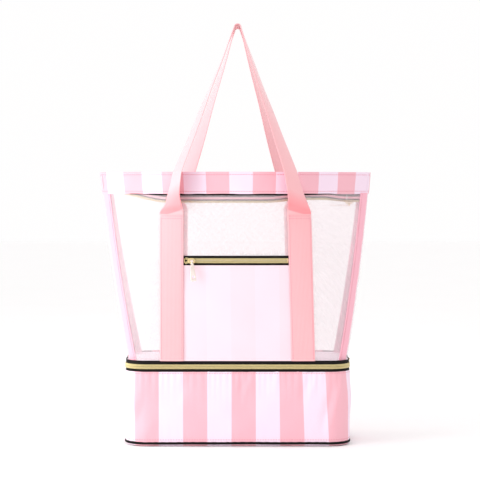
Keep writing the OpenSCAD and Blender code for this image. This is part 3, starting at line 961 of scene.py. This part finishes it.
def band_thickness(z):
    """Half thickness of the band: full between the stitches, thinner at them and at its edges."""
    rounding = np.clip(band_edge(z) / (1.3 * MM), 0, 1) ** 0.5
    dent = np.exp(-((band_edge(z) - BAND_HEM) / (1.6 * MM)) ** 2)
    return BAND_HALF_T * (0.35 + 0.65 * rounding) * (1 - 0.3 * dent)


def make_bands():
    up = np.concatenate([np.linspace(0, 1.4, 5), np.linspace(2, 34, 26), np.linspace(34.6, 36, 5)])
    heights = BAND_Z + up / up[-1] * (RIM_Z - BAND_Z)
    mid = len(heights) // 2
    s, z = mesh_grid(np.linspace(-1, 1, 161), heights)
    x = s * plan(z)[0]
    t, tz = mesh_grid(np.linspace(-1, 1, 31), heights)
    front_u = arc_u(front(x, z, 0.0))[:, mid:mid + 1] + 0 * z
    side_u = arc_u(side(t, tz, 0.0))[:, mid:mid + 1] + 0 * tz
    quarter = front_u[-1, 0] + side_u[-1, 0]
    makers = (("front", (1, 1), front, x, z, front_u, 51),
              ("rear", (1, -1), front, x, z, 2 * quarter - front_u, 52),
              ("right", (1, 1), side, t, tz, quarter + side_u, 53),
              ("left", (-1, 1), side, t, tz, -quarter - side_u, 54))
    for name, flip, surface, a, height, u, seed in makers:
        wave = 0.5 * MM * ripple(u, height, (0.06, 0.035), seed)
        gathers = np.exp(-((band_edge(height) - 6.5 * MM) / (2.5 * MM)) ** 2)
        pucker = 0.22 * MM * np.sin(2 * math.pi * u / (7.5 * MM)) * gathers
        half = band_thickness(height)
        obj = layer(name + "_band_cloth", surface, a, height, wave + pucker + half, wave - half, u,
                    flip=flip)
        piece(obj, "tote", "stripe_fabric", BAND_CLOTH, name + "_band")
        off = half + wave + pucker + 0.12 * MM
        columns = [np.argmin(np.abs(heights - level)) for level in (BAND_Z + BAND_HEM, RIM_Z - BAND_HEM)]
        lines = [seam_line(surface, a[:, k], height[:, k], off[:, k]) for k in columns]
        stitch_line(name + "_band_stitches", mirrored(lines, flip), "tote", "stripe_fabric")


def make_bindings():
    """Folded tape over each corner seam, with a row of stitches on its wide side."""
    heights = np.linspace(TOTE_FOOT - 1.5 * MM, BAND_Z + 2 * MM, 60)
    seam, gusset = plan(heights)[:2]
    on_front, on_side = np.array([10, 7.5, 5, 2.5, 0.7]) * MM, np.array([0.7, 2, 4, 6]) * MM

    def strip(off):
        return np.stack([*(front(seam - d, heights, off) for d in on_front), corner(heights, off),
                         *(side(-1 + d / gusset, heights, off) for d in on_side)])

    inner, outer = strip(BINDING_OFF), strip(BINDING_OFF + BINDING_T)
    row, level = mesh_grid(np.arange(len(outer)) * 2 * MM, heights)
    ruffle = 0.35 * MM * ripple(row, level, (0.03, 0.05), 61)
    outer = outer + (outer - inner) / BINDING_T * ruffle[..., None]
    uv = np.stack(mesh_grid([*-on_front, 0, *on_side], heights), -1)
    line = seam_line(front, seam - 7.5 * MM, heights, BINDING_OFF + BINDING_T + 0.2 * MM)
    for name, flip in FLIPS.items():
        obj = shell(name + "_seam_tape", outer, inner, uv, flip=flip, sharp=70)
        piece(obj, "tote", "binding", BINDING_CLOTH, name + "_binding")
        stitch_line(name + "_seam_stitches", mirrored([line], flip), "tote", "binding")


# ---- Zip across the mouth ----
TOP_OFF = 2.5 * MM
TOP_COIL = 3.8 * MM


def top_zip_pt(x, z, off):
    """Point on one side of the mouth's zip: it follows the inside of the band, rises at both
    corners and turns in to meet the other side at the slider."""
    lift = 14 * MM * smooth((-x - 110 * MM) / (90 * MM)) \
        + 4.5 * MM * smooth((x - 50 * MM) / (60 * MM)) * smooth((185 * MM - x) / (42 * MM))
    inward = smooth((x - 150 * MM) / (TOP_SLIDER_X - 154 * MM))[..., None]
    meet = np.stack([x + 0 * z, -off - TOP_OFF - 1.5 * MM + 0 * x, z + 0 * x], -1)
    place = front(x, z, off) * (1 - inward) + meet * inward
    place[..., 2] += lift
    return place


def make_top_zip():
    """On each side a tape, its coil, and a black strip that shows under the band: partly the tape's edge,
    partly painted shade.
    """
    start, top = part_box("top_zip_front_teeth")[0], span_z("top_zip_front_tape")[1] - 14 * MM
    ends = start.x + 1 * MM, TOP_SLIDER_X - 4 * MM
    x, z = mesh_grid(np.linspace(*ends, 150), np.linspace(start.z + 3.4 * MM, top, 12))
    sway = 0.5 * MM * ripple(x, z, (0.08, 0.05), 71) * smooth((top - z) / (10 * MM))
    off = -TOP_OFF - 0.3 * MM - np.abs(sway)
    line, outs = seam_line(top_zip_pt, np.linspace(*ends, 300), start.z + 2 * MM, -TOP_OFF - 0.8 * MM)
    # The black strip under the band's lower edge is partly the tape's edge and partly painted shade of
    # the band; it is taller in the middle and thins towards both ends.
    lip_x, up = mesh_grid(np.linspace(-172, 172, 150) * MM, np.linspace(0, 1, 5))
    drop = 1.7 * MM * smooth((174 * MM - np.abs(lip_x)) / (70 * MM))
    lip_z = BAND_Z + 0.8 * MM - (1 - up) * (0.8 * MM + drop)
    for name, flip in (("front", (1, 1)), ("rear", (1, -1))):
        tape = layer("mouth_" + name + "_tape", top_zip_pt, x, z, off + 0.25 * MM, off - 0.25 * MM,
                     flip=flip)
        piece(tape, "tote", "zip_tape", MOUTH_TAPE, "top_zip_" + name + "_tape")
        row = mirrored([(line, -outs)], flip)[0]
        zip_coil("mouth_" + name + "_coil", [(*row, 1)], TOP_COIL, "tote", ["top_zip_" + name + "_teeth"])
        lip = layer("mouth_" + name + "_tape_edge_and_shade", front, lip_x, lip_z, 1.3 * MM, 0.8 * MM, lip_x,
                    flip=flip)
        piece(lip, "tote", "zip_tape", TAPE)


def make_top_zip_end():
    """Sewn end of the mouth's zip: both tapes in one, with a row of coil on each face. The
    rows lean once more than the tapes, so that they meet the rows of the two sides."""
    low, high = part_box("top_zip_stub")
    ends = low.x + 0.5 * MM, high.x - 0.5 * MM
    half = np.array([(1.2, 2.2), (1.1, 3.6), (0.8, 4.4), (0.6, 8), (0.5, 14)])
    profile = np.array([(-1.2, 2.2), (-0.8, 2.0), (0.8, 2.0), *half, *(half[:0:-1] * [-1, 1])]) * MM
    x, y = mesh_grid(np.linspace(*ends, 30), profile[:, 0])
    up = profile[:, 1] + 0 * x
    sway = 0.4 * MM * np.sin(np.arange(len(x)) * 0.5)[:, None] * up / (18 * MM)
    points = np.stack([x, y + sway, low.z + up], -1).reshape(-1, 3)
    stub = mesh_object("mouth_zip_end", leaning(points), ring_faces(*x.shape), points[:, [0, 2]], 50)
    piece(stub, "tote", "zip_tape", MOUTH_TAPE, "top_zip_stub")
    x = np.linspace(*ends, 60)
    for name, y in (("front", -1.0), ("rear", 1.0)):
        line = leaning(np.stack([x, 0 * x + y * 1.5 * MM, 0 * x + low.z + 2.1 * MM], -1))
        zip_coil("mouth_end_" + name + "_coil", [(line, np.tile([0, y, 0], (len(x), 1)), 1)], TOP_COIL,
                 "tote", [])


# ---- Pocket ----


def make_pocket():
    foot, top = POCKET_FOOT, POCKET_TOP
    heights = np.concatenate([np.linspace(foot, foot + 4 * MM, 5),
                              np.linspace(foot + 7 * MM, top - 5 * MM, 44),
                              np.linspace(top - 4 * MM, top + 0.4 * MM, 6)])
    x, z = mesh_grid(np.linspace(-POCKET_HALF + 1 * MM, POCKET_HALF - 1 * MM, 110), heights)
    h = np.clip((z - foot) / (top - foot), 0, 1)
    calm = np.clip(np.sin(math.pi * h), 0, 1) ** 0.6 * (1 - (x / POCKET_HALF) ** 8)
    wave = 1.0 * MM * (1 + ripple(x, z, (0.12, 0.07), 81)) * calm
    hem = 0.25 * MM * (smooth((foot + 6 * MM - z) / (1 * MM)) + smooth((z - top + 5 * MM) / (1 * MM)))
    high = 1.75 * MM + wave + hem
    u = arc_u(front(x, z, high))
    obj = layer("pocket_cloth", front, x, z, high, 1.15 * MM + wave, u)
    piece(obj, "tote", "lilac_fabric", POCKET_CLOTH, "pocket_panel")
    x = np.linspace(-POCKET_HALF + 2 * MM, POCKET_HALF - 2 * MM, 160)
    lines = [seam_line(front, x, level, 2.2 * MM) for level in (foot + 4.5 * MM, top - 3.2 * MM)]
    stitch_line("pocket_stitches", lines, "tote", "lilac_fabric", PALE_THREAD)


def pocket_tape(name, x, z, low, high, wave, *nodes):
    """Black tape on the front, from low to high above the net."""
    x, z = mesh_grid(x, z)
    wave = wave * ripple(x, z, (0.05, 0.03), 83)
    piece(layer(name, front, x, z, high + wave, low + wave), "tote", "zip_tape", TAPE, *nodes)


def make_pocket_zip():
    """Both tapes, and both coils, which part beside the slider; behind the gap a black strip is partly
    the tapes' sewn end and partly painted shade.
    """
    low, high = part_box("pocket_zip_teeth")
    middle = (low.z + high.z) / 2
    for name, foot, top in (("lower", span_z("pocket_zip_lower_tape")[0], low.z + 0.8 * MM),
                            ("upper", high.z - 0.8 * MM, span_z("pocket_zip_upper_tape")[1])):
        pocket_tape("pocket_" + name + "_tape", np.linspace(-POCKET_HALF, POCKET_HALF, 110),
                    np.linspace(foot, top, 7), 1.1 * MM, 1.75 * MM, 0.12 * MM,
                    "pocket_zip_" + name + "_tape")
    x = np.linspace(low.x, high.x, 260)
    apart = 2.05 * MM + 1.5 * MM * smooth((POCKET_SLIDER_X - 4 * MM - x) / (5 * MM))
    rows = [(*seam_line(front, x, middle + way * apart, 2 * MM), way) for way in (-1, 1)]
    zip_coil("pocket_coils", rows, 4.1 * MM, "tote", ["pocket_zip_teeth"], 1.7 * MM, POCKET_BENDS)
    # Black strip behind the parted coils: partly the tapes' sewn end, partly painted shade in the gap.
    pocket_tape("pocket_tape_end_and_gap_shade", np.linspace(-POCKET_HALF, POCKET_SLIDER_X, 12),
                np.linspace(low.z, high.z, 7), 1 * MM, 1.35 * MM, 0.0)
    low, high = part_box("pocket_zip_stops")
    end_stops("pocket_end_stops", front, np.array([low.x + 1 * MM, high.x - 1 * MM]), middle, 1.8 * MM,
              (7.6 * MM, 1.9 * MM, 1.3 * MM), "tote", "pocket_zip_stops")


# ---- Webbing ----
HALF_ACROSS = np.array([1.3, 4, 7, 10, 13, 16, 17.6, 18.4, 18.8, 19]) * MM
ACROSS = np.concatenate([-HALF_ACROSS[::-1], HALF_ACROSS])
STRAP_OFF = 3.1 * MM             # from the wall to the middle of the webbing's thickness
STITCH_OFF, STITCH_AT = 3.95 * MM, 16.4 * MM
LEG_LOW_X, LEG_TOP_X, LEG_TURN = 107 * MM, 102 * MM, 17


def strap_half():
    """Half thickness across the webbing: its edges are rounded."""
    edge = WEBBING_W / 2 - np.abs(ACROSS)
    return WEBBING_T / 2 * (0.25 + 0.75 * np.clip(edge / (1.2 * MM), 0, 1) ** 0.5)


def leg_surface(a, z, off):
    """Point on the front wall, a from the middle of the leg."""
    middle = LEG_LOW_X + (LEG_TOP_X - LEG_LOW_X) * (z - LEG_FOOT) / (LEG_TOP - LEG_FOOT)
    return front(middle + a, z, off)


def leg_swell(a, z, seed):
    """How far a leg's webbing lifts off, less and less towards its top."""
    return 0.45 * MM * (1 + ripple(a, z, (0.13, 0.05), seed)) * smooth((LEG_TOP - z) / (25 * MM))


def make_legs():
    a, z = mesh_grid(ACROSS, np.linspace(LEG_FOOT, LEG_TOP, 90))
    half = strap_half()[:, None]
    level = np.linspace(LEG_FOOT + 3 * MM, LEG_TOP - 3 * MM, 200)
    across = np.linspace(-STITCH_AT, STITCH_AT, 30)
    for seed, (name, flip) in enumerate(FLIPS.items(), 91):
        off = STRAP_OFF + leg_swell(a, z, seed)
        obj = layer(name + "_strap", leg_surface, a, z, off + half, off - half, a, flip=flip, sharp=60)
        piece(obj, "tote", "webbing", WEBBING, name + "_leg")
        lines = [seam_line(leg_surface, at, level, STITCH_OFF + leg_swell(at, level, seed))
                 for at in (-STITCH_AT, STITCH_AT)]
        lines += [seam_line(leg_surface, across, LEG_TOP - down, STITCH_OFF) for down in (3 * MM, 7 * MM)]
        stitch_line(name + "_strap_stitches", mirrored(lines, flip), "tote", "webbing")


# A handle's middle line from the leg to the rim: X, Y, height above the leg, and the turn of
# its width from +X in degrees. The three ways differ as the soft webbing does.
BROAD = ((101, -109, 13, 28), (97.5, -115.5, 30, 44), (93.5, -117.5, 48, 51), (89, -115.5, 68, 56))
EDGE_ON = ((99.5, -110, 13, 40), (98.5, -117, 30, 56), (95.5, -120, 48, 63), (91.5, -119.5, 68, 67))
TURNED = ((101, -110.5, 13, 48), (96, -121.5, 30, 86), (88.5, -126, 48, 116), (82, -125.5, 68, 131))
HOLD_AT, HOLD_R = -20 * MM, 5 * MM       # what holds the handle up: its Y and its radius
JOIN_ROWS = 9                            # rows over which a handle takes the leg's shape


def hermite(p, q, p_slope, q_slope, step):
    """Eight points of the smooth curve from p to q, q left out."""
    t = np.linspace(0, 1, 9)[:-1, None]
    return ((2 * t ** 3 - 3 * t ** 2 + 1) * p + (t ** 3 - 2 * t ** 2 + t) * step * p_slope
            + (-2 * t ** 3 + 3 * t ** 2) * q + (t ** 3 - t ** 2) * step * q_slope)


def handle_half(knots):
    """Points and turns from the leg up to the top: a curve to the rim, then straight, then
    a quarter round what holds the handle up."""
    hang = HANDLE_TOP - WEBBING_T / 2 - HOLD_R
    start = [LEG_TOP_X, front(LEG_TOP_X, LEG_TOP, STRAP_OFF)[1], LEG_TOP, LEG_TURN]
    knots = np.array([start] + [[x * MM, y * MM, LEG_TOP + up * MM, turn] for x, y, up, turn in knots])
    peg = np.array([HOLD_R, HOLD_AT, hang, 90])
    straight = knots[-1] + (peg - knots[-1]) * np.linspace(0, 1, 90)[1:, None]
    onward = np.concatenate([knots, straight[10:11]])
    slopes = np.gradient(onward, onward[:, 2], axis=0)
    curved = [hermite(knots[k], knots[k + 1], slopes[k], slopes[k + 1], knots[k + 1, 2] - knots[k, 2])
              for k in range(len(knots) - 1)]
    arc = [[HOLD_R * math.cos(a), HOLD_AT, hang + HOLD_R * math.sin(a), 90]
           for a in np.linspace(0, math.pi / 2, 9)[1:]]
    return np.concatenate([*curved, knots[-1:], straight, arc])


def make_handle(name, right, left, flip, seed, fold_shade_taller=(0.0, 0.0)):
    """One strap up from a leg, over the top and down to the other leg. The last argument says how far up
    the painted shade of the fold is stretched on the right and on the left."""
    other = handle_half(left)[-2::-1] * [-1, 1, 1, 1]
    other[:, 3] = 180 - other[:, 3]
    path = np.concatenate([handle_half(right), other])
    path, turn = path[:, :3], np.radians(path[:, 3])
    across = np.stack([np.cos(turn), np.sin(turn), 0 * turn], -1)
    out = unit(np.cross(across, unit(np.gradient(path, axis=0))))
    gone = along(path)
    from_end = np.minimum(gone, gone[-1] - gone)
    length, width = mesh_grid(gone, ACROSS)
    cup = 0.9 * MM * (1 - (ACROSS / (WEBBING_W / 2)) ** 2) * smooth(from_end / (50 * MM))[:, None]
    sway = 0.7 * MM * ripple(length, width, (0.16, 0.09), seed) * smooth(from_end / (80 * MM))[:, None]
    middle = path[:, None] + across[:, None] * width[..., None] + out[:, None] * (cup + sway)[..., None]
    thick = out[:, None] * strap_half()[None, :, None]
    outer, inner = middle + thick, middle - thick
    for grid, way in ((outer, 1), (inner, -1)):
        row = leg_surface(ACROSS, LEG_TOP, STRAP_OFF + way * strap_half())
        for k in range(JOIN_ROWS):
            share = smooth(1 - k / JOIN_ROWS)
            place = row + [0, 0, path[k, 2] - LEG_TOP]
            grid[k] = grid[k] * (1 - share) + place * share
            grid[-1 - k] = grid[-1 - k] * (1 - share) + place * [-1, 1, 1] * share
    # Stretches the painted fold shade further up the strap.
    fold_shade_up = np.where(gone > gone[-1] / 2, fold_shade_taller[1], fold_shade_taller[0]) * smooth(from_end / (42 * MM))
    v, u = mesh_grid(from_end + LEG_TOP - fold_shade_up, ACROSS)
    outer, inner, uv = (grid.transpose(1, 0, 2) for grid in (outer, inner, np.stack([u, v], -1)))
    obj = shell(name + "_strap", outer, inner, uv, flip=flip, sharp=60)
    piece(obj, None, "webbing", HANDLE_WEBBING_SHADED, name)
    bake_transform(obj)


# ---- Sliders and pulls, each made at its own origin and facing -Y ----
# Sizes here are in millimetres: half the tag's thickness, and where the bar and its lugs are.
TAG_HALF_T, BAR_Y, LUG_X = 0.6, -5, 3.6


def hoops(name, loops, closed=False):
    """Solid through closed loops of points in millimetres; closed joins the last to the first."""
    points = np.concatenate(loops) * MM
    obj = mesh_object(name, points, ring_faces(len(loops), len(loops[0]), closed), points[:, [0, 2]], 45)
    return clean(obj, outward=True)


def join(objects):
    """One object from several."""
    bm = bmesh.new()
    for obj in objects:
        bm.from_mesh(obj.data)
    keep = objects[0]
    bm.to_mesh(keep.data)
    bm.free()
    keep.data.set_sharp_from_angle(angle=math.radians(45))
    for obj in objects[1:]:
        bpy.data.objects.remove(obj)
    return keep


def spin(degrees, axis):
    """Rotation about one axis."""
    return Matrix.Rotation(math.radians(degrees), 4, axis)


def squared(ways, power):
    """A circle's points moved out towards a soft square."""
    return np.sign(ways) * np.abs(ways) ** power


def flat_loop(flat, y):
    """Loop of points at one Y from (x, z) pairs."""
    return np.stack([flat[:, 0], np.full(len(flat), y), flat[:, 1]], -1)


def reach(outline, centre, way):
    """Distance from the centre to the outline in one direction."""
    best = 0.0
    for p, q in zip(outline, np.roll(outline, -1, 0)):
        m = np.array([way, p - q]).T
        if abs(np.linalg.det(m)) < 1e-9:
            continue
        far, share = np.linalg.solve(m, p - centre)
        if far > 0 and -1e-9 <= share <= 1 + 1e-9:
            best = max(best, far)
    return best


def pull_piece(name):
    """Long tag with a square hole near its end, hung from the slider's bar by an eye."""
    half = np.array([[0, -33], [3.7, -33], [4.2, -32.7], [4.5, -32], [4.3, -24], [3.6, -15], [3.2, -9.5],
                     [2.6, -8.2], [2, -7], [1.9, -1.4], [0, -1.2]])
    outline = np.concatenate([half, (half * [-1, 1])[-2:0:-1]])
    hole = np.array([0, -26])
    ways = np.stack([np.sin(turned(72)), np.cos(turned(72))], -1)
    rim = hole + ways * [[reach(outline, hole, way)] for way in ways]
    inward = unit(hole - rim)
    square = squared(ways, 0.45)
    # From the hole's wall to the outer edge: the loop, and how far under the tag's face it is.
    face = [(hole + square * 2.2, 0.3), (hole + square * 2.35, 0.08), (hole + square * 2.65, 0),
            (rim + inward * 0.9, 0), (rim + inward * 0.35, 0.1), (rim, 0.4)]
    loops = [flat_loop(flat, down - TAG_HALF_T) for flat, down in face]
    loops += [flat_loop(flat, TAG_HALF_T - down) for flat, down in face[::-1]]
    around = turned(28)
    eye = [np.stack([0 * around + x, r * np.sin(around), r * np.cos(around)], -1)
           for r, x in ((1.02, -2.3), (1.15, -2.5), (1.6, -2.5), (1.85, -2.3), (1.9, 0), (1.85, 2.3),
                        (1.6, 2.5), (1.15, 2.5), (1.02, 2.3))]
    obj = join([hoops(name + "_tag", loops, closed=True), hoops(name + "_eye", eye, closed=True)])
    obj.data.transform(Matrix.Translation((0, BAR_Y * MM, 0)))
    return obj


def slider_piece(name, upright):
    """Rounded plate with an arched bridge, and the bar that carries the pull."""
    flat = squared(np.stack([np.cos(turned(56)), np.sin(turned(56))], -1), 0.55) * [6, 4.5]
    flat[:, 1] *= 1 - 0.22 * np.abs(flat[:, 0] / 6) ** 2
    levels = ((0.9, -0.3), (0.97, -0.38), (1.0, -0.65), (1.0, -1.6), (0.97, -1.95), (0.9, -2.18),
              (0.78, -2.3), (0.4, -2.3))
    parts = [hoops(name + "_plate", [flat_loop(flat * k, y) for k, y in levels])]
    lug = ((0.55, -1.9), (0.9, -2.3), (0.95, -4.4), (0.9, -5.2), (0.7, -5.8), (0.35, -6.0))
    x, z = np.cos(turned(20)), np.sin(turned(20))
    for way in (-1, 1):
        loops = [flat_loop(np.stack([way * LUG_X + 0.5 * x * min(1, k + 0.1), 1.25 * k * z], -1), y)
                 for k, y in lug]
        parts.append(hoops(name + "_lug%d" % way, loops))
    y, z = BAR_Y + 0.7 * np.cos(turned(18)), 0.7 * np.sin(turned(18))
    parts.append(hoops(name + "_bar", [np.stack([0 * y + x, y, z], -1) for x in (-LUG_X, 0, LUG_X)]))
    if upright:
        for part in parts[1:]:
            part.data.transform(spin(90, "Y"))
    return join(parts)


def slider_places():
    """Where each slider sits; the two on the tote lean with it."""
    def middle(node):
        low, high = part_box(node)
        return low, high, (low + high) / 2

    def standing(*place):
        return Matrix.Translation(leaning(np.array([place]))[0])

    _, high, mid = middle("pocket_slider")
    places = {"pocket": standing(mid.x, high.y + 0.3 * MM, mid.z)}
    low, _, mid = middle("cooler_slider")
    places["cooler"] = Matrix.Translation((low.x - 0.3 * MM, mid.y, mid.z)) @ spin(90, "Z")
    _, high, mid = middle("top_slider")
    places["top"] = standing(mid.x, 0, high.z + 0.3 * MM) @ spin(90, "X")
    return places


def make_sliders():
    for name, place in slider_places().items():
        upright = name == "top"
        body = slider_piece(name + "_slider_body", upright)
        body.data.transform(place)
        piece(body, name + "_slider", "gold_metal", GOLD, name + "_slider")
        tag = pull_piece(name + "_pull_tag")
        if upright:
            tag.data.transform(spin(90, "Y"))
        if name == "pocket":
            tag.data.transform(Matrix.Translation((0.9 * MM, 0, 0)) @ spin(-5, "Y"))
        tag.data.transform(place)
        piece(tag, name + "_pull", "gold_metal", ROSE, name + "_pull")


# ---- Floor and board ----
FLOOR_HALF = 9.0


def make_floor():
    """Wide pale floor, level with the bottom of the base."""
    corners = [(x * FLOOR_HALF, y * FLOOR_HALF, 0) for x, y in ((-1, -1), (1, -1), (1, 1), (-1, 1))]
    obj = mesh_object("floor", corners, [(0, 1, 2, 3)], [(0, 0), (1, 0), (1, 1), (0, 1)])
    obj.location.z = -0.5 * MM
    n = Nodes("floor paper")
    tone = n.noise(3, 2)
    obj.data.materials.append(n.surface(n.mix(tone, rgb(255, 254, 254), rgb(253, 252, 252)),
                                        n.spread(tone, 0.7, 0.8), Specular_IOR_Level=0.1))


def paint_board():
    """The hidden base board keeps its CAD shape."""
    materials = bpy.data.objects["base_board"].data.materials
    materials.clear()
    materials.append(BOARD)


paint_board()
make_cooler_wall()
make_base()
slab("base_foam_pad", "base_foam", FOAM_INSET, "cooler")
make_wall_foam()
make_foil_liner()
make_cooler_zip()
make_hinge_strip()
slab("lid_foam_pad", "lid_foam", 1.4 * MM, "tote")
make_lid_foil()
make_tote_floor()
make_nets()
make_bands()
make_bindings()
make_top_zip()
make_top_zip_end()
make_pocket()
make_pocket_zip()
make_legs()
make_handle("front_handle", BROAD, EDGE_ON, (1, 1), 101, (5 * MM, 16 * MM))
make_handle("rear_handle", TURNED, TURNED, (1, -1), 103)
make_sliders()
make_floor()
